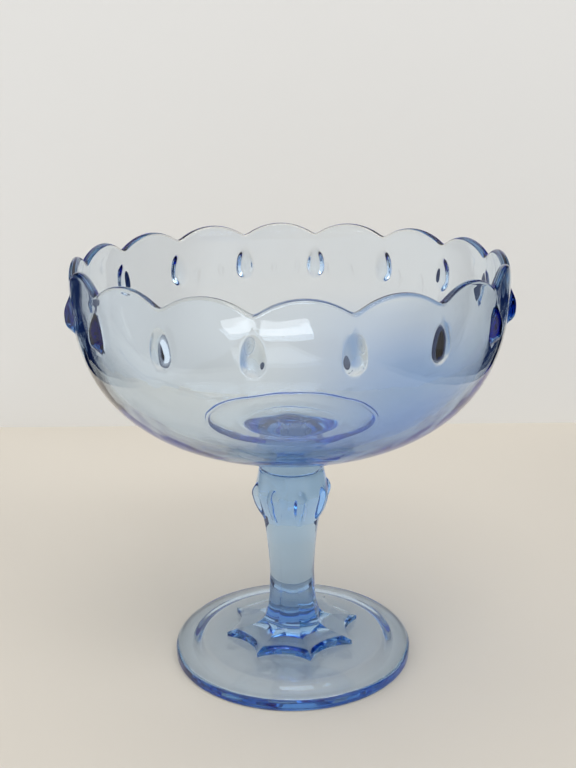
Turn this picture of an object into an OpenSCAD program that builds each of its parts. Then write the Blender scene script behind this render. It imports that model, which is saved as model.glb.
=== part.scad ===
// Footed compote bowl in pressed glass: a scalloped bowl, a joining wafer, a panelled stem and a foot.
// All lengths are millimetres. The foot rests on z = 0, and the stem stands on the z axis.

/* [Bowl] */
// Outer radius of the bowl where its wall is widest
bowl_r = 102.8; // [85:0.1:125]
// Height of the bowl from its seat on the wafer to the crests of the rim
bowl_h = 92.9; // [75:0.1:110]
// Thickness of the bowl's wall
bowl_wall = 3.9; // [2.8:0.1:4.6]
// Thickness of the glass under the lowest point of the bowl's inside curve
floor_t = 4.2; // [3:0.1:8]
// Fullness of the bowl's curve: 2 is an ellipse and more is squarer
bowl_curve_share = 2.5; // [2.1:0.05:2.9]
// Radius of the pressed ring on the bowl's floor
ring_r = 43.6; // [36:0.1:50]
// Depth of the step at the pressed ring
ring_step = 0.7; // [0.3:0.1:1.2]

/* [Rim] */
// Number of scallops round the rim, with a drop under each notch
scallops = 16; // [12:1:20]
// Height of a crest above a notch
scallop_h = 7; // [4:0.1:8]
// Height of the crests above the widest line of the wall
rim_h = 10.1; // [9.5:0.1:12]
// How far the crests lean in from the widest line
rim_lean = 1; // [0.2:0.1:2]

/* [Bowl drops] */
// Length of a drop on the bowl's wall
drop_len = 17.5; // [14:0.1:20]
// Radius of a drop where it is widest, below its middle
drop_r = 5.5; // [4.6:0.1:6.5]
// How far a drop stands out from the wall where it is widest
drop_proud = 3.4; // [2:0.1:4]
// Distance from the tip of a drop up to the notch above it
drop_gap = 7; // [5:0.1:10]

/* [Wafer] */
// Height of the joining wafer
wafer_h = 13.7; // [10:0.1:18]
// Radius of the wafer where it meets the stem
wafer_r = 16.2; // [13:0.1:19]
// Radius of the wafer's seat under the bowl
seat_r = 24; // [21:0.1:28]
// Thickness of the wafer's edge at its seat
seat_lip = 0.4; // [0.2:0.1:1]
// Width of the bevel that shows as a dark groove at the joint
groove = 0.6; // [0.3:0.1:0.9]

/* [Stem] */
// Height of the stem from the foot to the wafer
stem_h = 89.6; // [75:0.1:110]
// Number of flat panels round the stem, and of points on its star
panels = 8; // [6:1:10]
// Radius of the ridges at the narrowest place
waist_r = 11.6; // [10:0.1:14]
// Radius of the ridges at the shoulder
shoulder_r = 18.3; // [17:0.1:21]
// Radius of the star's points
star_r = 34.6; // [30:0.1:38]
// How far the star's edge is hollowed between two points
star_hollow = 4.7; // [2:0.1:6]
// Height of the star's edge at a point
star_edge = 2.5; // [1.5:0.1:3.5]
// Extra height of the star's edge midway between two points
star_rise = 2; // [0.5:0.1:3]

/* [Stem drops] */
// Length of a drop on a ridge of the stem
stem_drop_len = 15; // [12:0.1:18]
// Radius of a stem drop where it is widest, above its middle
stem_drop_r = 4.2; // [3.4:0.1:5]
// How far a stem drop stands out from its ridge
stem_drop_proud = 1.7; // [1:0.1:2.4]
// Distance from the top of a stem drop up to the wafer
stem_drop_gap = 9.5; // [7:0.1:13]

/* [Foot] */
// Radius of the foot
foot_r = 60.5; // [52:0.1:70]
// Height of the seat that the stem stands on
foot_h = 10.8; // [9:0.1:14]
// Width of the ledge between the star's points and the edge of their seat
foot_ledge = 1.4; // [0.5:0.1:4]
// Height of the foot's edge
foot_edge_h = 6.4; // [5:0.1:8]
// Radius that rounds the top of the foot's edge
foot_round = 2.6; // [1:0.1:3.4]
// Width of the ring that the foot rests on
foot_ring_w = 4; // [3:0.1:6]
// Radius of the outer line of the soft step underneath
foot_step_r = 51.5; // [48:0.1:54]
// Width of the soft step underneath
foot_step_w = 8; // [4:0.1:12]
// Height of the underside at the outer line of the soft step
foot_step_z = 1.2; // [0.6:0.1:2]
// Rise of the underside over the soft step
foot_step_h = 2.6; // [1.5:0.1:3.5]
// Thickness of the glass in the middle of the foot
foot_mid_t = 5.2; // [4:0.1:6]
// Radius that rounds the bottom of the foot's edge
foot_heel = 0.8; // [0.4:0.1:1.5]

/* [Hidden] */

// Counts of straight steps that draw the curves
bowl_steps = 26;
scallop_steps = 12;
lip_steps = 6;
panel_steps = 6;
span_steps = 4;
foot_steps = 8;
round_steps = 5;
drop_steps = 12;
drop_sides = 40;
$fn = 192;

// Heights of the joints and of the bowl's main lines
wafer_z = foot_h + stem_h;
bowl_z = wafer_z + wafer_h;
crest_z = bowl_z + bowl_h;
notch_z = crest_z - scallop_h;
wide_z = crest_z - rim_h;

// The bowl's outside and inside curves: full ovals that stand upright at the widest line
outer_depth = (bowl_h - rim_h) / fall_share(bowl_r, seat_r);
inner_r = bowl_r - bowl_wall;
inner_depth = bowl_h - rim_h - floor_t;
outer_curve = bowl_curve(bowl_r, outer_depth, seat_r);
inner_curve = bowl_curve(inner_r, inner_depth, ring_r);
wall_at = [for (p = outer_curve) [p[1], p[0]]];
ring_z = inner_curve[0][1];

// Share of a curve's depth that is left at the radius at_r
function fall_share(r, at_r) = pow(1 - pow(at_r / r, bowl_curve_share), 1 / bowl_curve_share);

// Points of a curve of radius r from the radius start_r up to the widest line
function bowl_curve(r, depth, start_r) =
    let (span = acos(pow(start_r / r, bowl_curve_share / 2)))
    [for (i = [0:bowl_steps])
        let (a = span * (1 - i / bowl_steps))
        [r * pow(cos(a), 2 / bowl_curve_share), wide_z - depth * pow(sin(a), 2 / bowl_curve_share)]];

// The rim: each scallop is an arc that rises from notch to notch, and its edge is fully rounded
rim_count = scallops * scallop_steps;
half_scallop = PI * bowl_r / scallops;
scallop_r = (pow(half_scallop, 2) + pow(scallop_h, 2)) / (2 * scallop_h);
lip_lap_share = 0.09;
lip_inset_share = 0.015;
lip_lap = bowl_wall * lip_lap_share;
lip_inset = bowl_wall * lip_inset_share;

// Height of the rim's top line at the column i
function rim_top(i) =
    let (x = half_scallop * abs(1 - 2 * (i % scallop_steps) / scallop_steps))
    crest_z - scallop_r + sqrt(pow(scallop_r, 2) - pow(x, 2));

// How far the wall has leaned in at the height z
function lean(z) = rim_lean * pow((z - wide_z) / rim_h, 2);

// Outline of the rim's section at the column i, from its foot outside, over the lip, to its foot inside
function rim_section(i) =
    let (spring = rim_top(i) - bowl_wall / 2 + lip_inset)
    let (low = wide_z + lip_lap, mid = (low + spring) / 2)
    let (out_r = bowl_r - lip_inset, in_r = inner_r + lip_inset)
    let (lip_r = (out_r - in_r) / 2, lip_c = (out_r + in_r) / 2 - lean(spring))
    [
        [out_r, wide_z - lip_lap],
        [out_r, low],
        [out_r - lean(mid), mid],
        for (k = [0:lip_steps])
            let (a = 180 * k / lip_steps)
            [lip_c + lip_r * cos(a), spring + lip_r * sin(a)],
        [in_r - lean(mid), mid],
        [in_r, low],
        [in_r, wide_z - lip_lap]
    ];

// A place at the radius r and height z, turned by the angle a from the front
function around(r, a, z) = [r * sin(a), -r * cos(a), z];

module rim() {
    loop = len(rim_section(0));
    points = [for (i = [0:rim_count - 1], p = rim_section(i)) around(p[0], 360 * i / rim_count, p[1])];
    faces = [for (i = [0:rim_count - 1], j = [0:loop - 1])
        let (next = (i + 1) % rim_count, up = (j + 1) % loop)
        each [
            [i * loop + j, i * loop + up, next * loop + up],
            [i * loop + j, next * loop + up, next * loop + j]
        ]];
    polyhedron(points, faces);
}

// A drop of glass, egg-shaped: two half ovals that meet where it is widest, at a share of its length
drop_wide_share = 0.36;
module drop(length, wide_r, wide_share) {
    rotate_extrude($fn = drop_sides) polygon([
        for (k = [0:drop_steps])
            let (s = sin(180 * k / drop_steps - 90))
            [wide_r * cos(180 * k / drop_steps - 90),
                length * (wide_share + s * (s < 0 ? wide_share : 1 - wide_share))]
    ]);
}

// The drops on the bowl hang under the notches, tip up, and lean as the wall does
drop_top_z = notch_z - drop_gap;
drop_low_z = drop_top_z - drop_len;
drop_low_at = lookup(drop_low_z, wall_at);
drop_top_at = lookup(drop_top_z, wall_at);

module bowl_drops() {
    for (i = [0:scallops - 1]) rotate([0, 0, 360 * i / scallops])
        translate([0, drop_r - drop_proud - drop_low_at, drop_low_z])
            rotate([asin((drop_top_at - drop_low_at) / drop_len), 0, 0])
                drop(drop_len, drop_r, drop_wide_share);
}

module bowl_hollow() {
    rotate_extrude() polygon([
        [0, ring_z - ring_step],
        [ring_r - ring_step, ring_z - ring_step],
        each inner_curve,
        [inner_r, crest_z],
        [0, crest_z]
    ]);
}

module bowl() {
    color([0.60, 0.72, 0.88]) union() {
        difference() {
            union() {
                rotate_extrude() polygon([[0, bowl_z], each outer_curve, [0, wide_z]]);
                bowl_drops();
            }
            bowl_hollow();
        }
        rim();
    }
}

// The wafer joins the stem to the bowl and flares out under the bowl in a hollow curve
flare_r = seat_r - wafer_r;
flare_h = flare_r + seat_lip;

module joining_wafer() {
    color([0.54, 0.67, 0.85]) translate([0, 0, wafer_z]) rotate_extrude() polygon([
        [0, 0],
        [wafer_r - groove, 0],
        [wafer_r, groove],
        for (k = [0:round_steps])
            let (a = 90 * k / round_steps)
            [seat_r - flare_r * cos(a), wafer_h - flare_h + flare_r * sin(a)],
        [seat_r, wafer_h],
        [0, wafer_h]
    ]);
}

// Stations up the stem, bottom to top. Each row is a share of the stem's height, a share of the way from
// the waist out to the star's points, a share of the way from the waist out to the shoulder, and shares
// of the star's hollow, of a round section and of the star's rise
station_shares = [
    [0.068, 0.630, 0.00, 0.25, 0.15, 0.55],
    [0.134, 0.300, 0.00, 0.06, 0.15, 0.25],
    [0.234, 0.090, 0.00, 0.00, 0.30, 0.08],
    [0.400, 0.000, 0.00, 0.00, 0.50, 0.00],
    [0.580, 0.000, 0.18, 0.00, 0.55, 0.00],
    [0.710, 0.000, 0.45, 0.00, 0.60, 0.00],
    [0.810, 0.000, 0.84, 0.00, 0.75, 0.00],
    [0.870, 0.000, 1.00, 0.00, 0.90, 0.00],
    [0.935, 0.000, 0.84, 0.00, 1.00, 0.00]
];

// A station in real sizes: height, ridge radius, hollow, roundness and rise
function station(s) = [
    s[0] * stem_h,
    waist_r + s[1] * (star_r - waist_r) + s[2] * (shoulder_r - waist_r),
    s[3] * star_hollow,
    s[4],
    s[5] * star_rise
];
stations = [
    [star_edge, star_r, star_hollow, 0, star_rise],
    for (s = station_shares) station(s),
    [stem_h - groove, wafer_r, 0, 1, 0]
];

// The stem's line between two stations, drawn smoothly through its neighbours
function smooth(p, q, r, s, t) =
    q + 0.5 * t * ((r - p) + t * ((2 * p - 5 * q + 4 * r - s) + t * (3 * (q - r) + s - p)));
function pick(i) = stations[min(max(i, 0), len(stations) - 1)];
stem_line = [
    [0, star_r, star_hollow, 0, 0],
    for (i = [0:len(stations) - 2], k = [0:span_steps - 1])
        smooth(pick(i - 1), pick(i), pick(i + 1), pick(i + 2), k / span_steps),
    stations[len(stations) - 1],
    [stem_h, wafer_r - groove, 0, 1, 0]
];
ridge_at = [for (s = stem_line) [s[0], s[1]]];

// One ring of the stem: each panel runs from ridge to ridge, hollow at the star and round at the top
stem_sides = panels * panel_steps;
function stem_ring(s) =
    let (flat_r = s[1] * cos(180 / panels), mid_r = flat_r - s[2] + s[3] * (s[1] - flat_r))
    [for (p = [0:panels - 1], k = [0:panel_steps - 1])
        let (u = 2 * k / panel_steps - 1, crown = 1 - u * u, turn = 360 * p / panels)
        let (x = s[1] * sin(180 / panels) * u, y = flat_r + (mid_r - flat_r) * crown)
        [x * cos(turn) + y * sin(turn), x * sin(turn) - y * cos(turn), s[0] + s[4] * crown]];

module stem_body() {
    top = (len(stem_line) - 1) * stem_sides;
    points = [for (s = stem_line) each stem_ring(s)];
    sides = [for (i = [0:len(stem_line) - 2], j = [0:stem_sides - 1])
        let (next = (j + 1) % stem_sides, low = i * stem_sides, high = low + stem_sides)
        each [[low + j, high + j, high + next], [low + j, high + next, low + next]]];
    floor_face = [for (j = [0:stem_sides - 1]) j];
    top_face = [for (j = [0:stem_sides - 1]) top + stem_sides - 1 - j];
    polyhedron(points, [each sides, floor_face, top_face]);
}

// The drops on the stem hang tip down at the top of the ridges
stem_drop_wide_share = 0.64;
stem_drop_top_z = stem_h - stem_drop_gap;
stem_drop_low_z = stem_drop_top_z - stem_drop_len;
stem_drop_low_at = lookup(stem_drop_low_z, ridge_at);
stem_drop_top_at = lookup(stem_drop_top_z, ridge_at);

module stem_drops() {
    for (i = [0:panels - 1]) rotate([0, 0, 360 * (i + 0.5) / panels])
        translate([0, stem_drop_r - stem_drop_proud - stem_drop_low_at, stem_drop_low_z])
            rotate([asin((stem_drop_top_at - stem_drop_low_at) / stem_drop_len), 0, 0])
                drop(stem_drop_len, stem_drop_r, stem_drop_wide_share);
}

module stem() {
    color([0.50, 0.65, 0.86]) translate([0, 0, foot_h]) union() {
        stem_body();
        stem_drops();
    }
}

// The foot is a low dome with a level seat. Underneath it is hollowed in a shallow dome with a soft step,
// and it rests on a narrow ring
foot_seat_r = star_r + foot_ledge;
foot_top_r = foot_r - foot_round;
foot_dome_r = foot_step_r - foot_step_w;
foot_dome_z = foot_step_z + foot_step_h;
foot_under_z = foot_h - foot_mid_t;
crown_share = 1.25;

module foot() {
    color([0.56, 0.70, 0.88]) rotate_extrude() polygon([
        for (k = [0:foot_steps])
            let (s = k / foot_steps)
            [foot_dome_r * s, foot_dome_z + (foot_under_z - foot_dome_z) * (1 - s * s)],
        for (k = [1:foot_steps])
            let (s = k / foot_steps)
            [foot_dome_r + foot_step_w * s, foot_dome_z - foot_step_h * s * s * (3 - 2 * s)],
        [foot_r - foot_ring_w, 0],
        for (k = [0:round_steps])
            let (a = 90 * k / round_steps)
            [foot_r - foot_heel * (1 - sin(a)), foot_heel * (1 - cos(a))],
        for (k = [0:round_steps])
            let (a = 90 * k / round_steps)
            [foot_top_r + foot_round * cos(a), foot_edge_h - foot_round * (1 - sin(a))],
        for (k = [1:foot_steps])
            let (s = k / foot_steps)
            [foot_top_r + (foot_seat_r - foot_top_r) * s,
                foot_edge_h + (foot_h - foot_edge_h) * (1 - pow(1 - s, crown_share))],
        [0, foot_h]
    ]);
}

bowl();
joining_wafer();
stem();
foot();
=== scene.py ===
# A footed compote bowl of pale blue pressed glass: a scalloped bowl, a joining wafer, a panelled stem and a foot.
# Sizes are written in millimetres, and each mesh is scaled to metres as it is made. The foot rests on z = 0.
import math
import bmesh
import bpy
import numpy as np
from mathutils import Matrix, Vector


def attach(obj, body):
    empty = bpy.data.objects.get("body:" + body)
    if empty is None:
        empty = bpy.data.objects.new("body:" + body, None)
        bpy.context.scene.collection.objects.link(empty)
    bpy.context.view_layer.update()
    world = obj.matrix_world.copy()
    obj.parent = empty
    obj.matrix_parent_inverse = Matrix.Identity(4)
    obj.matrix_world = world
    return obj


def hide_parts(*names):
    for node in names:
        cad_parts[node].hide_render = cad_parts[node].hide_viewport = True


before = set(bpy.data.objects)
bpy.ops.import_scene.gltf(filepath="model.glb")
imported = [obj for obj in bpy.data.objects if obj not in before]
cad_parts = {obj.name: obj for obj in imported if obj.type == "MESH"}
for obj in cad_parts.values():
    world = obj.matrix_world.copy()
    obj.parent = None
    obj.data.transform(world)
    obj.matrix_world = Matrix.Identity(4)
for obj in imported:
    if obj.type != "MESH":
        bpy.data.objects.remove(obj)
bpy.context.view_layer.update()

scene = bpy.context.scene

# --- Camera ---
# It looks slightly down at the bowl, so that the rim is a wide oval and the far wall shows through the near one.
# The object stands turned by 8.2 degrees, with one notch of the rim just right of the middle.
photo_turn = Matrix.Rotation(math.radians(8.2), 4, "Z")
lens = bpy.data.cameras.new("photo_camera")
lens.sensor_width = 36
lens.lens = 51.75
camera = bpy.data.objects.new("photo_camera", lens)
scene.collection.objects.link(camera)
camera.matrix_world = (photo_turn @ Matrix.Translation((0, -0.5148, 0.29705))
                       @ Matrix.Rotation(math.radians(0.146), 4, "Z")
                       @ Matrix.Rotation(math.radians(90 - 16.653), 4, "X")
                       @ Matrix.Rotation(math.radians(-0.519), 4, "Z"))
scene.camera = camera
scene.view_settings.view_transform = "Standard"

# Light goes through many walls of glass, and turns back inside the thick edges, before it reaches the camera.
scene.cycles.max_bounces = 48
scene.cycles.glossy_bounces = 48
scene.cycles.transmission_bounces = 48
scene.cycles.transparent_max_bounces = 48
scene.cycles.diffuse_bounces = 4


# --- Floor, backdrop and light ---
# A pale stone top and a pale painted wall, both matt, and plain but for painted light under the foot: a paler circle
# for the light that the glass foot lets through. The top lies a hair under the foot, because glass touches stone at a
# few points only.
def linear(colour):
    """Turns an sRGB hex colour into the linear values that a socket takes."""
    parts = [int(colour[i:i + 2], 16) / 255 for i in (1, 3, 5)]
    return [p / 12.92 if p <= 0.04045 else ((p + 0.055) / 1.055) ** 2.4 for p in parts] + [1]


def add_node(tree, kind, inputs=None, **settings):
    """Adds a node with its settings. A socket given as an input is linked, and any other value is set."""
    node = tree.nodes.new(kind)
    for name, value in settings.items():
        setattr(node, name, value)
    for key, value in (inputs or {}).items():
        if isinstance(value, bpy.types.NodeSocket):
            tree.links.new(value, node.inputs[key])
        else:
            node.inputs[key].default_value = value
    return node


def matt_surface(name, colour, light_under_foot_colour=None):
    """Paint or stone without gloss. Where a second colour is given, it is painted light: the circle that the foot
    covers is paler, for the light let down through the glass.
    """
    surface = bpy.data.materials.new(name)
    surface.use_nodes = True
    tree = surface.node_tree
    tree.nodes.clear()
    coat = add_node(tree, "ShaderNodeBsdfPrincipled", {"Base Color": linear(colour), "Roughness": 0.7})
    if light_under_foot_colour:
        # Painted light: within the foot's circle the stone turns to the paler second colour
        place = add_node(tree, "ShaderNodeTexCoord")
        from_axis = add_node(tree, "ShaderNodeVectorMath", {0: place.outputs["Object"]}, operation="LENGTH")
        painted_light_circle = add_node(tree, "ShaderNodeMapRange", {
            "Value": from_axis.outputs["Value"], "From Min": 0.059, "From Max": 0.05})
        mixed = add_node(tree, "ShaderNodeMix", {
            "Factor": painted_light_circle.outputs[0], "A": linear(colour), "B": linear(light_under_foot_colour)}, data_type="RGBA")
        tree.links.new(mixed.outputs["Result"], coat.inputs["Base Color"])
    # It has a front only, so that the wall hides nothing from a camera behind it
    back = add_node(tree, "ShaderNodeNewGeometry").outputs["Backfacing"]
    clear = add_node(tree, "ShaderNodeBsdfTransparent")
    one_sided = add_node(tree, "ShaderNodeMixShader", {0: back, 1: coat.outputs[0], 2: clear.outputs[0]})
    add_node(tree, "ShaderNodeOutputMaterial", {"Surface": one_sided.outputs[0]})
    return surface


floor_z, wall_y, half_w, front_y, wall_top = -0.0003, 0.36, 0.28, -0.7, 2.5
# The stone's second colour, #fff5e8, is painted light in the circle under the foot
for name, corners, surface in (
        ("stone_top", [(-half_w, front_y, floor_z), (half_w, front_y, floor_z),
                       (half_w, wall_y, floor_z), (-half_w, wall_y, floor_z)],
         matt_surface("honed_pale_stone", "#d8d1c5", "#fff5e8")),
        ("painted_wall", [(-half_w, wall_y, floor_z), (half_w, wall_y, floor_z),
                          (half_w, wall_y, wall_top), (-half_w, wall_y, wall_top)],
         matt_surface("matt_wall_paint", "#dfdedb"))):
    mesh = bpy.data.meshes.new(name)
    mesh.from_pydata([photo_turn @ Vector(c) for c in corners], [], [(0, 1, 2, 3)])
    mesh.materials.append(surface)
    backdrop = bpy.data.objects.new(name, mesh)
    scene.collection.objects.link(backdrop)

# The room is bright in front, on the left and overhead, and dark navy on the right, which the glass's edges show
room_light = bpy.data.worlds.new("soft_room_light")
scene.world = room_light
room_light.use_nodes = True
tree = room_light.node_tree
direction = add_node(tree, "ShaderNodeTexCoord").outputs["Generated"]
toward = add_node(tree, "ShaderNodeVectorMath", {0: direction, 1: photo_turn @ Vector((-0.42, -0.82, 0.39))},
                  operation="DOT_PRODUCT")
open_side = add_node(tree, "ShaderNodeMapRange", {
    "Value": toward.outputs["Value"], "From Min": -0.15, "From Max": 0.25})
room = add_node(tree, "ShaderNodeMix", {
    "Factor": open_side.outputs[0], "A": linear("#132044"), "B": linear("#ffffff")}, data_type="RGBA")
tree.links.new(room.outputs["Result"], tree.nodes["Background"].inputs["Color"])
tree.nodes["Background"].inputs["Strength"].default_value = 1

# Two panes of a high window behind the camera, and a soft lamp overhead, all turned to the stem
for name, place, size, power in (
        ("left_window", (0.09, -0.9, 1.75), (0.86, 0.45), 5.8),
        ("right_window", (0.92, -0.9, 1.75), (0.6, 0.45), 3.9),
        ("ceiling", (0.2, 0.1, 1.8), (0.8, 0.8), 2.6)):
    lamp = bpy.data.lights.new(name, "AREA")
    lamp.shape = "RECTANGLE"
    lamp.size, lamp.size_y = size
    lamp.energy = power
    holder = bpy.data.objects.new(name, lamp)
    scene.collection.objects.link(holder)
    aim = (Vector((0, 0, 0.1)) - Vector(place)).to_track_quat("-Z", "Y").to_matrix().to_4x4()
    holder.matrix_world = photo_turn @ Matrix.Translation(place) @ aim


# --- Glass ---
# Soda-lime glass, coloured pale ice blue in the melt, pressed in an iron mould and fire-polished. The colour is
# in its depth: thin walls are nearly clear, and edges and thick places go through steel blue to royal blue.
def pressed_glass():
    """The one glass of the whole object."""
    glass = bpy.data.materials.new("ice_blue_pressed_soda_lime_glass")
    glass.use_nodes = True
    tree = glass.node_tree
    tree.nodes.clear()
    place = add_node(tree, "ShaderNodeTexCoord")
    # Fire-polished glass is slightly wavy, with long soft waves some 18 mm apart and fainter ones half as long
    wave = add_node(tree, "ShaderNodeTexNoise", {"Vector": place.outputs["Object"], "Scale": 55, "Detail": 1.5,
                                                 "Roughness": 0.4})
    ripple = add_node(tree, "ShaderNodeBump", {"Height": wave.outputs["Fac"], "Strength": 0.3, "Distance": 0.0006})
    # Faces where two pieces are fused together let the light straight through
    joint = add_node(tree, "ShaderNodeAttribute", attribute_name="joint")
    clear = add_node(tree, "ShaderNodeMath", {0: 1.0, 1: joint.outputs["Fac"]}, operation="SUBTRACT")
    # The bowl's glass is painted a deeper blue low on its right-hand side, a painted shade for the darker, bluer
    # light that falls on that side. Its lowest glass is at z = 0.114, above wafer and stem
    axes = add_node(tree, "ShaderNodeSeparateXYZ", {0: place.outputs["Object"]}).outputs
    rightward = add_node(tree, "ShaderNodeMapRange", {"Value": axes["X"], "From Min": -0.03, "From Max": 0.07},
                         interpolation_type="SMOOTHSTEP")
    lower = add_node(tree, "ShaderNodeMapRange", {"Value": axes["Z"], "From Min": 0.178, "From Max": 0.122},
                     interpolation_type="SMOOTHSTEP")
    bowl_only = add_node(tree, "ShaderNodeMapRange", {"Value": axes["Z"], "From Min": 0.112, "From Max": 0.116})
    both = add_node(tree, "ShaderNodeMath", {0: rightward.outputs[0], 1: lower.outputs[0]}, operation="MULTIPLY")
    painted_shade_share = add_node(tree, "ShaderNodeMath", {0: both.outputs[0], 1: bowl_only.outputs[0]}, operation="MULTIPLY")
    painted_blue_shade = add_node(tree, "ShaderNodeMix", {"Factor": painted_shade_share.outputs[0], "A": (1, 1, 1, 1), "B": linear("#a6c5f3")},
                    data_type="RGBA")
    # The open edge round a fused joint is painted dark navy, a painted shade for the fine dark line in that crease
    seam = add_node(tree, "ShaderNodeAttribute", attribute_name="seam")
    shaded = add_node(tree, "ShaderNodeMix", {"Factor": seam.outputs["Fac"], "A": painted_blue_shade.outputs["Result"],
                                              "B": linear("#14264c")}, data_type="RGBA")
    body = add_node(tree, "ShaderNodeBsdfPrincipled", {
        "Base Color": shaded.outputs["Result"], "Roughness": 0, "IOR": 1.52, "Transmission Weight": 1,
        "Normal": ripple.outputs[0], "Alpha": clear.outputs[0]})
    depth = add_node(tree, "ShaderNodeVolumeAbsorption", {"Color": linear("#42b6ea"), "Density": 32})
    add_node(tree, "ShaderNodeOutputMaterial", {"Surface": body.outputs[0], "Volume": depth.outputs[0]})
    return glass


ice_blue_glass = pressed_glass()
# Each face of a fused joint stands back by this, so that the two never lie in one plane
fuse_gap = 0.01


def skin(name, rings, joints=(), painted_shade_gaps=()):
    """A closed mesh over rings of points, bottom to top, where a single point closes an end. Gap i lies between rings
    i and i + 1. The gaps listed in joints are fused to the next piece, and those in the last list are painted with a
    dark shade."""
    points, rows = [], []
    for ring in rings:
        ring = np.atleast_2d(np.asarray(ring, float)) * 0.001
        rows.append(range(len(points), len(points) + len(ring)))
        points.extend(ring)
    faces, fused, shaded_edge_faces = [], [], []
    for i, (low, high) in enumerate(zip(rows, rows[1:])):
        count = max(len(low), len(high))
        for k in range(count):
            n = (k + 1) % count
            if len(low) == 1:
                faces.append((low[0], high[n], high[k]))
            elif len(high) == 1:
                faces.append((low[k], low[n], high[0]))
            else:
                faces.append((low[k], low[n], high[n], high[k]))
            fused.append(i in joints)
            shaded_edge_faces.append(i in painted_shade_gaps)
    mesh = bpy.data.meshes.new(name)
    mesh.from_pydata([tuple(p) for p in points], [], faces)
    for key, values in (("joint", fused), ("seam", shaded_edge_faces)):
        mesh.attributes.new(key, "FLOAT", "FACE").data.foreach_set("value", np.array(values, float))
    piece = bpy.data.objects.new(name, mesh)
    scene.collection.objects.link(piece)
    return piece


def turned(section, columns):
    """Rings made by turning a section of (radius, height) points round the axis."""
    angle = np.linspace(0, 2 * math.pi, columns, endpoint=False)
    return [np.c_[r * np.sin(angle), -r * np.cos(angle), np.full(columns, z)] for r, z in section]


def fire_polish(piece, angle=38):
    """Smooths the faces, but for edges sharper than the angle, and gives the piece its glass."""
    mesh = piece.data
    mesh.shade_smooth()
    mesh.set_sharp_from_angle(angle=math.radians(angle))
    mesh.materials.clear()
    mesh.materials.append(ice_blue_glass)


def apply_nodes(piece, tree, values):
    """Runs a node tree on a piece with its inputs set by name, and keeps the result as a plain mesh."""
    modifier = piece.modifiers.new(tree.name, "NODES")
    modifier.node_group = tree
    sockets = {s.name: s.identifier for s in tree.interface.items_tree if s.item_type == "SOCKET"}
    for key, value in values.items():
        modifier[sockets[key]] = value
    bpy.context.view_layer.update()
    done = bpy.data.meshes.new_from_object(piece.evaluated_get(bpy.context.evaluated_depsgraph_get()))
    piece.modifiers.clear()
    old = piece.data
    piece.data = done
    bpy.data.meshes.remove(old)
    done.name = piece.name


# --- Drops ---
# Ornament pressed in one with the wall: low egg-shaped drops of glass, which repeat round the axis. A node tree
# sets copies of one drop in a ring and unites them with the wall.
def ring_of_drops():
    """Node tree that unites a piece with a ring of drops, the first of them at the first angle."""
    tree = bpy.data.node_groups.new("ring_of_drops", "GeometryNodeTree")
    for name, kind in (("Geometry", "NodeSocketGeometry"), ("Drop", "NodeSocketObject"), ("Count", "NodeSocketInt"),
                       ("First Angle", "NodeSocketFloat"), ("Glass", "NodeSocketMaterial")):
        tree.interface.new_socket(name, in_out="INPUT", socket_type=kind)
    tree.interface.new_socket("Geometry", in_out="OUTPUT", socket_type="NodeSocketGeometry")
    given = add_node(tree, "NodeGroupInput").outputs
    places = add_node(tree, "GeometryNodePoints", {"Count": given["Count"]})
    index = add_node(tree, "GeometryNodeInputIndex")
    share = add_node(tree, "ShaderNodeMath", {0: index.outputs[0], 1: given["Count"]}, operation="DIVIDE")
    angle = add_node(tree, "ShaderNodeMath", {0: share.outputs[0], 1: 2 * math.pi, 2: given["First Angle"]},
                     operation="MULTIPLY_ADD")
    turn = add_node(tree, "ShaderNodeCombineXYZ", {"Z": angle.outputs[0]})
    drop = add_node(tree, "GeometryNodeObjectInfo", {"Object": given["Drop"]})
    ring = add_node(tree, "GeometryNodeInstanceOnPoints", {
        "Points": places.outputs[0], "Instance": drop.outputs["Geometry"], "Rotation": turn.outputs[0]})
    drops = add_node(tree, "GeometryNodeRealizeInstances", {0: ring.outputs[0]})
    union = add_node(tree, "GeometryNodeMeshBoolean", operation="UNION", solver="EXACT")
    tree.links.new(drops.outputs[0], union.inputs["Mesh 2"])
    tree.links.new(given["Geometry"], union.inputs["Mesh 2"])
    whole = add_node(tree, "GeometryNodeRealizeInstances", {0: union.outputs["Mesh"]})
    glass = add_node(tree, "GeometryNodeSetMaterial", {"Geometry": whole.outputs[0], "Material": given["Glass"]})
    add_node(tree, "NodeGroupOutput", {0: glass.outputs[0]})
    return tree


drop_ring = ring_of_drops()


def egg(name, length, half_w, widest, proud, low_z, wall_at, sink, fullness):
    """One drop in its place at the front of a turned wall, whose radius at a height is wall_at(height). Its widest
    place is a share of the length up from its low end. Its crown stands proud by that much and runs out softly to a
    skirt past the drop's outline, which is sunk in the wall, and a fuller drop keeps its height further out."""
    skirt, root, sides, steps = 1.18, 1.2, 48, 22
    angle = 2 * math.pi * np.arange(sides) / sides
    along = np.where(np.cos(angle) < 0, widest, 1 - widest) * length * np.cos(angle)
    across = half_w * np.sin(angle)
    rings = []
    for out, depth in [(skirt, root), *[(s, 0) for s in np.linspace(skirt, 0, steps)[:-1]]]:
        crown = (1 + math.cos(math.pi * (out / skirt) ** fullness)) / 2
        ring = []
        for a, c in zip(along * out, across * out):
            z = low_z + widest * length + a
            r = wall_at(z) + (proud + sink) * crown - sink - depth
            ring.append((r * math.sin(c / r), -r * math.cos(c / r), z))
        rings.append(ring[::-1])
    centre_z = low_z + widest * length
    inner, crest = wall_at(centre_z) - sink - root, wall_at(centre_z) + proud
    return skin(name, [[(0, -inner, centre_z)], *rings, [(0, -crest, centre_z)]])


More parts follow.
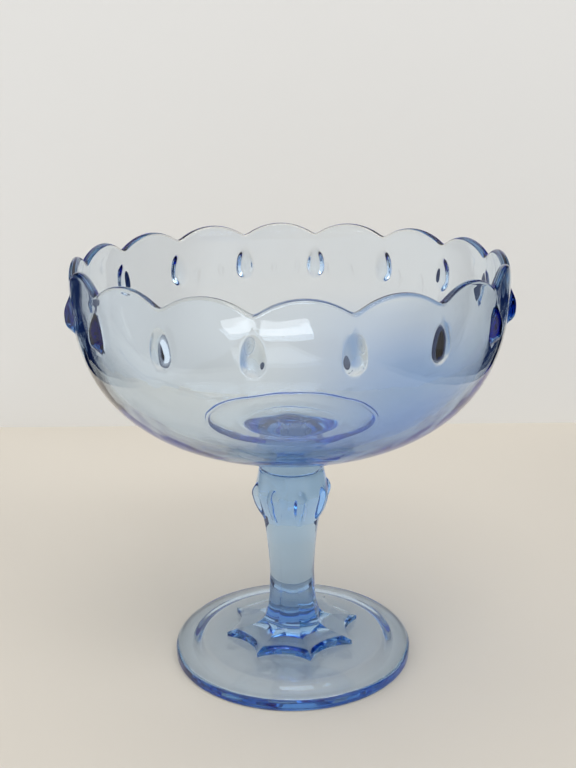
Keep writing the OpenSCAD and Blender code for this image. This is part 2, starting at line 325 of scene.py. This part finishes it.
# --- Bowl ---
# The bowl is one pressing of glass with an even wall, a round lip that rises in sixteen scallops, and a low ring
# pressed in its floor. Under each notch of the rim a drop stands out from the wall, round end down.
scallops, scallop_h, rim_h, rim_lean, notch_soft = 16, 7, 10.1, 1, 1.2
bowl_r, bowl_wall, floor_t = 102.8, 3.9, 4.2
bowl_z, crest_z, seat_r = 114.1, 207, 24
ring_r, ring_step, ring_groove, ring_edge_share = 43.6, 0.7, 3, 0.4
floor_wave, floor_wave_len = 0.3, 19
bowl_columns, curve_share = 352, 2.5   # a curve share of 2 is an ellipse, and more is squarer
wide_z = crest_z - rim_h
lip_z = crest_z - bowl_wall / 2


def bowl_curve(radius, depth, start, count):
    """The oval line of the wall from the radius start up to the widest line."""
    angle = np.linspace(math.asin((start / radius) ** (curve_share / 2)), math.pi / 2, count)
    return np.c_[radius * np.sin(angle) ** (2 / curve_share), wide_z - depth * np.cos(angle) ** (2 / curve_share)]


outer_depth = (wide_z - bowl_z) / (1 - (seat_r / bowl_r) ** curve_share) ** (1 / curve_share)
outside = bowl_curve(bowl_r, outer_depth, seat_r, 64)
outside[0, 1] = bowl_z
inside = bowl_curve(bowl_r - bowl_wall, wide_z - bowl_z - floor_t, ring_r, 56)[::-1]
ring_z = inside[-1, 1]
lip_angle = np.linspace(0, math.pi, 15)
lip = np.c_[bowl_r - bowl_wall / 2 + bowl_wall / 2 * np.cos(lip_angle), lip_z + bowl_wall / 2 * np.sin(lip_angle)]
straight = np.linspace(wide_z, lip_z, 8)[1:-1]
floor_line = [*np.linspace(ring_r, ring_r - ring_groove, 10)[1:], *np.linspace(ring_r - ring_groove, 0.001, 42)[1:]]


def floor_height(r):
    """Height of the bowl's floor within the ring: a groove along the ring, a low step, and slight waves."""
    into_groove = min((ring_r - r) / ring_groove, 1)
    step = ring_step * (ring_edge_share + (1 - ring_edge_share) * math.sin(into_groove * math.pi) ** 2)
    return ring_z - step - floor_wave * (1 - math.cos(2 * math.pi * r / floor_wave_len))


bowl_section = np.vstack([
    [(0.001, bowl_z + fuse_gap), (seat_r - 0.05, bowl_z + fuse_gap)],
    outside,
    [(bowl_r, z) for z in straight], lip, [(bowl_r - bowl_wall, z) for z in straight[::-1]],
    inside,
    [(r, floor_height(r)) for r in floor_line]])


def scalloped_wall():
    """Node tree that turns a section round the axis, and pulls its rim down from the crests to the notches."""
    tree = bpy.data.node_groups.new("scalloped_wall", "GeometryNodeTree")
    for name, kind in (("Geometry", "NodeSocketGeometry"), ("Columns", "NodeSocketInt"),
                       ("Scallops", "NodeSocketInt"), ("Scallop Height", "NodeSocketFloat"),
                       ("Widest Radius", "NodeSocketFloat"), ("Widest Height", "NodeSocketFloat"),
                       ("Lip Height", "NodeSocketFloat"), ("Lean", "NodeSocketFloat"),
                       ("Notch Softness", "NodeSocketFloat"), ("Glass", "NodeSocketMaterial")):
        tree.interface.new_socket(name, in_out="INPUT", socket_type=kind)
    tree.interface.new_socket("Geometry", in_out="OUTPUT", socket_type="NodeSocketGeometry")
    given = add_node(tree, "NodeGroupInput").outputs

    # A grid has one column of points for each column of the wall, and one row for each point of the section
    rows = add_node(tree, "GeometryNodeAttributeDomainSize", {0: given["Geometry"]}, component="MESH").outputs[0]
    closed = add_node(tree, "ShaderNodeMath", {0: given["Columns"], 1: 1.0}, operation="ADD").outputs[0]
    grid = add_node(tree, "GeometryNodeMeshGrid", {"Vertices X": closed, "Vertices Y": rows})
    index = add_node(tree, "GeometryNodeInputIndex").outputs[0]
    row = add_node(tree, "ShaderNodeMath", {0: index, 1: rows}, operation="MODULO").outputs[0]
    place = add_node(tree, "ShaderNodeMath", {0: index, 1: rows}, operation="DIVIDE").outputs[0]
    column = add_node(tree, "ShaderNodeMath", {0: place}, operation="FLOOR").outputs[0]
    around = add_node(tree, "ShaderNodeMath", {0: column, 1: given["Columns"]}, operation="DIVIDE").outputs[0]
    point = add_node(tree, "GeometryNodeSampleIndex", {
        "Geometry": given["Geometry"], "Value": add_node(tree, "GeometryNodeInputPosition").outputs[0],
        "Index": row}, data_type="FLOAT_VECTOR", domain="POINT").outputs[0]
    axes = add_node(tree, "ShaderNodeSeparateXYZ", {0: point}).outputs

    # Distance along the rim from the middle of a scallop, held just short of the notch so that its bottom is soft
    girth = add_node(tree, "ShaderNodeMath", {0: given["Widest Radius"], 1: math.pi}, operation="MULTIPLY").outputs[0]
    half = add_node(tree, "ShaderNodeMath", {0: girth, 1: given["Scallops"]}, operation="DIVIDE").outputs[0]
    wave = add_node(tree, "ShaderNodeMath", {0: around, 1: given["Scallops"]}, operation="MULTIPLY").outputs[0]
    part = add_node(tree, "ShaderNodeMath", {0: wave}, operation="FRACT").outputs[0]
    side = add_node(tree, "ShaderNodeMath", {0: part, 1: -2.0, 2: 1.0}, operation="MULTIPLY_ADD").outputs[0]
    reach = add_node(tree, "ShaderNodeMath", {0: side}, operation="ABSOLUTE").outputs[0]
    short = add_node(tree, "ShaderNodeMath", {0: 1.0, 1: reach}, operation="SUBTRACT").outputs[0]
    from_notch = add_node(tree, "ShaderNodeMath", {0: short, 1: half}, operation="MULTIPLY").outputs[0]
    squared = add_node(tree, "ShaderNodeMath", {0: from_notch, 1: 2.0}, operation="POWER").outputs[0]
    softness = add_node(tree, "ShaderNodeMath", {0: given["Notch Softness"], 1: 2.0}, operation="POWER").outputs[0]
    softened = add_node(tree, "ShaderNodeMath", {0: squared, 1: softness}, operation="ADD").outputs[0]
    held_back = add_node(tree, "ShaderNodeMath", {0: softened}, operation="SQRT").outputs[0]
    along = add_node(tree, "ShaderNodeMath", {0: half, 1: held_back}, operation="SUBTRACT").outputs[0]

    # How far the rim lies below its crests there: each scallop is an arc of a circle
    half_2 = add_node(tree, "ShaderNodeMath", {0: half, 1: 2.0}, operation="POWER").outputs[0]
    tall_2 = add_node(tree, "ShaderNodeMath", {0: given["Scallop Height"], 1: 2.0}, operation="POWER").outputs[0]
    chord = add_node(tree, "ShaderNodeMath", {0: half_2, 1: tall_2}, operation="ADD").outputs[0]
    twice = add_node(tree, "ShaderNodeMath", {0: given["Scallop Height"], 1: 2.0}, operation="MULTIPLY").outputs[0]
    arc = add_node(tree, "ShaderNodeMath", {0: chord, 1: twice}, operation="DIVIDE").outputs[0]
    arc_2 = add_node(tree, "ShaderNodeMath", {0: arc, 1: 2.0}, operation="POWER").outputs[0]
    along_2 = add_node(tree, "ShaderNodeMath", {0: along, 1: 2.0}, operation="POWER").outputs[0]
    rest_2 = add_node(tree, "ShaderNodeMath", {0: arc_2, 1: along_2}, operation="SUBTRACT").outputs[0]
    rest = add_node(tree, "ShaderNodeMath", {0: rest_2}, operation="SQRT").outputs[0]
    below = add_node(tree, "ShaderNodeMath", {0: arc, 1: rest}, operation="SUBTRACT").outputs[0]

    # The whole lip moves down by that, the wall under it in proportion, and both lean in towards the top
    lift = add_node(tree, "ShaderNodeMapRange", {
        "Value": axes["Z"], "From Min": given["Widest Height"], "From Max": given["Lip Height"]}).outputs[0]
    fall = add_node(tree, "ShaderNodeMath", {0: lift, 1: below}, operation="MULTIPLY").outputs[0]
    height = add_node(tree, "ShaderNodeMath", {0: axes["Z"], 1: fall}, operation="SUBTRACT").outputs[0]
    span = add_node(tree, "ShaderNodeMath", {0: given["Lip Height"], 1: given["Widest Height"]},
                    operation="SUBTRACT").outputs[0]
    lost = add_node(tree, "ShaderNodeMath", {0: below, 1: span}, operation="DIVIDE").outputs[0]
    left = add_node(tree, "ShaderNodeMath", {0: 1.0, 1: lost}, operation="SUBTRACT").outputs[0]
    share = add_node(tree, "ShaderNodeMath", {0: lift, 1: left}, operation="MULTIPLY").outputs[0]
    share_2 = add_node(tree, "ShaderNodeMath", {0: share, 1: 2.0}, operation="POWER").outputs[0]
    inward = add_node(tree, "ShaderNodeMath", {0: share_2, 1: given["Lean"]}, operation="MULTIPLY").outputs[0]
    radius = add_node(tree, "ShaderNodeMath", {0: axes["X"], 1: inward}, operation="SUBTRACT").outputs[0]

    spot = add_node(tree, "ShaderNodeCombineXYZ", {"Y": add_node(
        tree, "ShaderNodeMath", {0: radius, 1: -1.0}, operation="MULTIPLY").outputs[0], "Z": height}).outputs[0]
    angle = add_node(tree, "ShaderNodeMath", {0: around, 1: 2 * math.pi}, operation="MULTIPLY").outputs[0]
    turned_spot = add_node(tree, "ShaderNodeVectorRotate", {"Vector": spot, "Angle": angle},
                           rotation_type="Z_AXIS").outputs[0]
    wall = add_node(tree, "GeometryNodeSetPosition", {"Geometry": grid.outputs[0], "Position": turned_spot})
    shut = add_node(tree, "GeometryNodeMergeByDistance", {"Geometry": wall.outputs[0], "Distance": 0.000004})
    whole = add_node(tree, "GeometryNodeRealizeInstances", {0: shut.outputs[0]})
    glass = add_node(tree, "GeometryNodeSetMaterial", {"Geometry": whole.outputs[0], "Material": given["Glass"]})
    add_node(tree, "NodeGroupOutput", {0: glass.outputs[0]})
    return tree


section_line = bpy.data.meshes.new("glass_bowl")
section_line.from_pydata([(r * 0.001, 0, z * 0.001) for r, z in bowl_section],
                         [(i, i + 1) for i in range(len(bowl_section) - 1)], [])
bowl = bpy.data.objects.new("glass_bowl", section_line)
scene.collection.objects.link(bowl)
apply_nodes(bowl, scalloped_wall(), {
    "Columns": bowl_columns, "Scallops": scallops, "Scallop Height": scallop_h * 0.001,
    "Widest Radius": bowl_r * 0.001, "Widest Height": wide_z * 0.001, "Lip Height": lip_z * 0.001,
    "Lean": rim_lean * 0.001, "Notch Softness": notch_soft * 0.001, "Glass": ice_blue_glass})
shape = bmesh.new()
shape.from_mesh(bowl.data)
bmesh.ops.recalc_face_normals(shape, faces=shape.faces)
shape.to_mesh(bowl.data)
shape.free()

drop_len, drop_half_w, drop_widest, drop_proud, drop_top_z = 17.5, 5.1, 0.36, 3.4, 193
drop_sink, drop_fullness = 0.2, 1.45


def wall_r(z):
    """Radius of the bowl's outside at a height."""
    return float(np.interp(z, outside[:, 1], outside[:, 0]))


bowl_drop = egg("bowl_drop", drop_len, drop_half_w, drop_widest, drop_proud, drop_top_z - drop_len, wall_r,
                drop_sink, drop_fullness)
apply_nodes(bowl, drop_ring, {"Drop": bowl_drop, "Count": scallops, "First Angle": 0.0, "Glass": ice_blue_glass})
bpy.data.objects.remove(bowl_drop)

# The level seat under the bowl is fused to the wafer
corner_z = np.array([[bowl.data.vertices[v].co.z for v in (f.vertices[0], f.vertices[1], f.vertices[-1])]
                     for f in bowl.data.polygons])
on_seat = (np.abs(corner_z - (bowl_z + fuse_gap) * 0.001) < 0.000008).all(axis=1)
if "joint" in bowl.data.attributes:
    bowl.data.attributes.remove(bowl.data.attributes["joint"])
bowl.data.attributes.new("joint", "FLOAT", "FACE").data.foreach_set("value", on_seat.astype(float))
fire_polish(bowl)
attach(bowl, "root")
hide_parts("bowl")

# --- Joining wafer ---
# A short plug of the same glass, put hot between the stem and the bowl. It flares out under the bowl in a hollow
# curve. It is fused to the stem in the middle, and the bevelled edge round that is painted as a fine dark line of
# shade.
wafer_z, wafer_r, seat_lip, groove, fused_r = 100.4, 16.2, 0.4, 0.8, 11.5
flare_r = seat_r - wafer_r
flare = [(seat_r - flare_r * math.cos(a), bowl_z - seat_lip - flare_r + flare_r * math.sin(a))
         for a in np.linspace(0, math.pi / 2, 18)]
wafer_section = [(fused_r, wafer_z + fuse_gap), (wafer_r - groove, wafer_z + fuse_gap), (wafer_r, wafer_z + groove),
                 *flare, (seat_r, bowl_z - fuse_gap)]
joining_wafer = skin(
    "glass_wafer", [[(0, 0, wafer_z + fuse_gap)], *turned(wafer_section, 320), [(0, 0, bowl_z - fuse_gap)]],
    joints=(0, len(wafer_section)), painted_shade_gaps=(1, 2))
fire_polish(joining_wafer)
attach(joining_wafer, "root")
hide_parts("joining_wafer")

# --- Stem ---
# The stem is pressed solid with eight panels, flat at the waist, hollow where they spread into an eight-pointed
# star on the foot, and round at the shoulder, where a drop hangs tip down on each ridge. It is fused at both ends.
foot_h, stem_h, panels, panel_steps, span_steps = 10.8, 89.6, 8, 40, 12
waist_r, shoulder_r, star_r, star_hollow, star_edge, star_rise = 11.6, 18.3, 34.6, 4.7, 2.1, 0.9
# Each row: share of the height, of the way from waist to star, of the way from waist to shoulder, of the hollow,
# of a round section, and of the star's rise
stations = np.array([
    [0.039, 0.791, 0.00, 0.49, 0.20, 0.33],
    [0.048, 0.561, 0.00, 0.38, 0.70, 0.00],
    [0.060, 0.344, 0.00, 0.49, 0.70, 0.00],
    [0.089, 0.157, 0.00, 0.23, 0.50, 0.00],
    [0.140, 0.070, 0.00, 0.06, 0.30, 0.00],
    [0.212, 0.026, 0.00, 0.00, 0.40, 0.00],
    [0.301, 0.009, 0.00, 0.00, 0.50, 0.00],
    [0.400, 0.000, 0.00, 0.00, 0.50, 0.00],
    [0.580, 0.000, 0.18, 0.00, 0.55, 0.00],
    [0.710, 0.000, 0.45, 0.00, 0.60, 0.00],
    [0.810, 0.000, 0.84, 0.00, 0.75, 0.00],
    [0.870, 0.000, 1.00, 0.00, 0.90, 0.00],
    [0.935, 0.000, 0.84, 0.00, 1.00, 0.00]])
# A knot has a height, the radius of the ridges, a hollow, a roundness and a rise
knots = np.vstack([
    [[star_edge, star_r, star_hollow, 0, star_rise]],
    np.c_[stations[:, 0] * stem_h,
          waist_r + stations[:, 1] * (star_r - waist_r) + stations[:, 2] * (shoulder_r - waist_r),
          stations[:, 3] * star_hollow, stations[:, 4], stations[:, 5] * star_rise],
    [[stem_h - groove, wafer_r, 0, 1, 0]]])
line = [[fuse_gap, star_r, star_hollow, 0, 0], [star_edge * 0.5, star_r, star_hollow, 0, star_rise * 0.5]]
# The line between two knots is drawn smoothly through their neighbours
for i in range(len(knots) - 1):
    p, q, r, s = (knots[min(max(n, 0), len(knots) - 1)] for n in (i - 1, i, i + 1, i + 2))
    for t in np.arange(span_steps) / span_steps:
        line.append(q + 0.5 * t * ((r - p) + t * ((2 * p - 5 * q + 4 * r - s) + t * (3 * (q - r) + s - p))))
line += [knots[-1], [stem_h - fuse_gap, wafer_r - groove, 0, 1, 0], [stem_h - fuse_gap, fused_r, 0, 1, 0]]


def panelled_ring(height, ridge, hollow, roundness, rise):
    """One ring of the stem at a height over the foot, from ridge to ridge round its panels."""
    u = 2 * np.arange(panel_steps) / panel_steps - 1
    crown = 1 - u * u
    flat = ridge * math.cos(math.pi / panels)
    x = ridge * math.sin(math.pi / panels) * u
    y = flat + (roundness * (ridge - flat) - hollow) * crown
    ring = []
    for turn in 2 * math.pi * np.arange(panels) / panels:
        ring.append(np.c_[x * math.cos(turn) + y * math.sin(turn), x * math.sin(turn) - y * math.cos(turn),
                          foot_h + height + rise * crown])
    return np.vstack(ring)


stem = skin(
    "glass_stem",
    [[(0, 0, foot_h + fuse_gap)], *[panelled_ring(*row) for row in line], [(0, 0, foot_h + stem_h - fuse_gap)]],
    joints=(0, len(line)))

stem_drop_len, stem_drop_half_w, stem_drop_widest, stem_drop_proud, stem_drop_gap = 20, 3.7, 0.64, 2, 6.5
stem_drop_sink, stem_drop_fullness = 0.4, 1.6
stem_drop_low = foot_h + stem_h - stem_drop_gap - stem_drop_len


def ridge_r(z):
    """Radius of the stem's ridges at a height."""
    return float(np.interp(z - foot_h, [row[0] for row in line], [row[1] for row in line]))


stem_drop = egg("stem_drop", stem_drop_len, stem_drop_half_w, stem_drop_widest, stem_drop_proud, stem_drop_low,
                ridge_r, stem_drop_sink, stem_drop_fullness)
apply_nodes(stem, drop_ring, {"Drop": stem_drop, "Count": panels, "First Angle": math.pi / panels,
                              "Glass": ice_blue_glass})
bpy.data.objects.remove(stem_drop)
# The ridges between the panels are low, so a smaller angle keeps them crisp
fire_polish(stem, 24)
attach(stem, "root")
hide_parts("stem")

# --- Foot ---
# A thick round foot of the same glass, with a rounded edge and a level seat that the stem's star is fused to.
# Underneath it is hollowed in a shallow dome with a soft step round it, and it rests on a narrow ring.
foot_r, foot_edge_h, foot_round, foot_heel, foot_ledge, foot_ring_w = 60.5, 6.4, 2.6, 0.8, 1.4, 4
under_z, dome_r, dome_z, step_r, step_z = 5.6, 45.8, 4, 51.3, 1.2
step_ease = 0.3   # 0 is a straight slope from the dome down to the step's edge, and 1 is fully eased at both ends
foot_swell = 1.25   # 1 is a straight slope from the edge up to the seat, and more is rounder
top_r = foot_r - foot_round
foot_section = [(dome_r * s, dome_z + (under_z - dome_z) * (1 - s * s)) for s in np.linspace(0, 1, 24)[1:]]
foot_section += [(dome_r + (step_r - dome_r) * s,
                  dome_z + (step_z - dome_z) * ((1 - step_ease) * s + step_ease * s * s * (3 - 2 * s)))
                 for s in np.linspace(0, 1, 14)[1:]]
foot_section += [(step_r + (foot_r - foot_ring_w - step_r) * s, step_z * (1 - s)) for s in np.linspace(0, 1, 5)[1:]]
foot_section += [(foot_r - foot_heel * (1 - math.sin(a)), foot_heel * (1 - math.cos(a)))
                 for a in np.linspace(0, math.pi / 2, 8)]
foot_section += [(top_r + foot_round * math.cos(a), foot_edge_h - foot_round * (1 - math.sin(a)))
                 for a in np.linspace(0, math.pi / 2, 14)]
foot_section += [(top_r + (star_r + foot_ledge - top_r) * s,
                  foot_edge_h + (foot_h - foot_edge_h) * (1 - (1 - s) ** foot_swell))
                 for s in np.linspace(0, 1, 20)[1:]]
# The foot's columns stand where the star's do, and its joint lies a hair within the star's outline
star_line = panelled_ring(0, star_r, star_hollow, 0, 0)
bearing = np.arctan2(star_line[:, 0], -star_line[:, 1])
foot_rings = [np.c_[r * np.sin(bearing), -r * np.cos(bearing), np.full(len(bearing), z)] for r, z in foot_section]
joint_line = star_line * (0.9995, 0.9995, 1) - (0, 0, fuse_gap)
foot = skin(
    "glass_foot", [[(0, 0, under_z)], *foot_rings, star_line, joint_line, [(0, 0, foot_h - fuse_gap)]],
    joints=(len(foot_rings) + 1, len(foot_rings) + 2))
fire_polish(foot)
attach(foot, "root")
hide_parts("foot")
